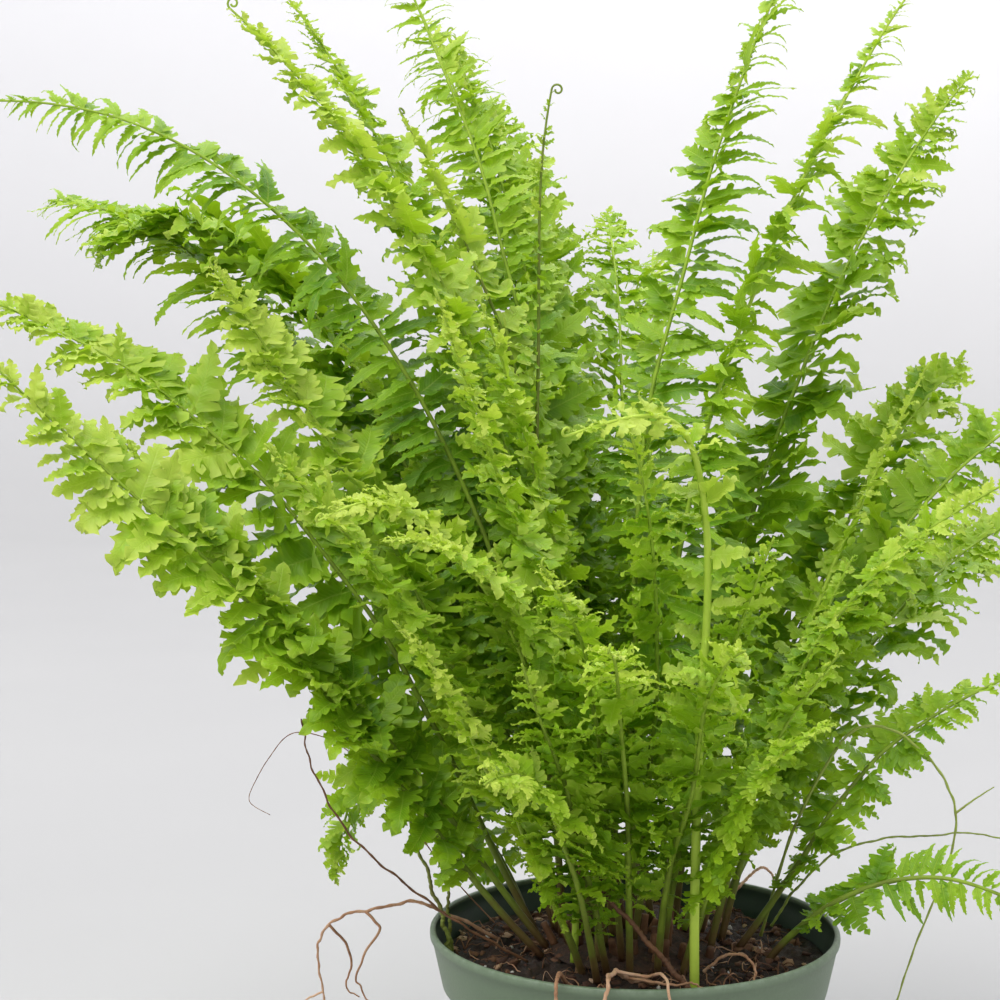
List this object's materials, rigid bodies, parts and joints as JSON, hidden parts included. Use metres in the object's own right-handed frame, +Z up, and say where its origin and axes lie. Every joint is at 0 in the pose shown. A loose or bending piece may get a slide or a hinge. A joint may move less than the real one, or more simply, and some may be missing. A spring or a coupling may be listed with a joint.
{
  "type": "potted fern",
  "caption": "Leafy ruffled sword fern with arching feathery fronds, growing in a plain round tapered nursery pot of soil.",
  "frame": {"origin": "middle of the pot's flat underside", "axes": "+Z up through the pot, +Y away from the front view, +X to its right"},
  "size_m": [0.4365, 0.4003, 0.4883],
  "materials": {
    "pot_plastic": "moulded sage-green nursery plastic, satin outside, dull inside",
    "potting_mix": "moist dark peat mix with fibres and bark chips",
    "crown_wood": "rough brown rhizome with old stalk bases",
    "frond_green": "thin fresh green leaf, soft sheen, lets light through, paler at the young tips",
    "green_runner": "thin olive-green living runner",
    "dry_runner": "thin dry tan runner or root"
  },
  "bodies": {
    "root": {"pot": "pot_plastic", "soil": "potting_mix", "crown": "crown_wood", "frond_01": "frond_green", "frond_02": "frond_green", "frond_03": "frond_green", "frond_04": "frond_green", "frond_05": "frond_green", "frond_06": "frond_green", "frond_07": "frond_green", "frond_08": "frond_green", "frond_09": "frond_green", "frond_10": "frond_green", "frond_11": "frond_green", "frond_12": "frond_green", "frond_13": "frond_green", "frond_14": "frond_green", "frond_15": "frond_green", "frond_16": "frond_green", "frond_17": "frond_green", "frond_18": "frond_green", "frond_19": "frond_green", "frond_20": "frond_green", "frond_21": "frond_green", "frond_22": "frond_green", "frond_23": "frond_green", "frond_24": "frond_green", "frond_25": "frond_green", "frond_26": "frond_green", "frond_27": "frond_green", "frond_28": "frond_green", "frond_29": "frond_green", "frond_30": "frond_green", "frond_31": "frond_green", "frond_32": "frond_green", "frond_33": "frond_green", "frond_34": "frond_green", "frond_35": "frond_green", "frond_36": "frond_green", "frond_37": "frond_green", "frond_38": "frond_green", "frond_39": "frond_green", "frond_40": "frond_green", "frond_41": "frond_green", "frond_42": "frond_green", "frond_43": "frond_green", "frond_44": "frond_green", "frond_45": "frond_green", "frond_46": "frond_green", "frond_47": "frond_green", "frond_48": "frond_green", "frond_49": "frond_green", "frond_50": "frond_green", "runner_right": "green_runner", "runner_right_low": "green_runner", "runner_left_high": "dry_runner", "runner_left_rim": "dry_runner", "root_front_left": "dry_runner", "root_front_middle": "dry_runner", "dead_stalk": "dry_runner"}
  },
  "joints": []
}
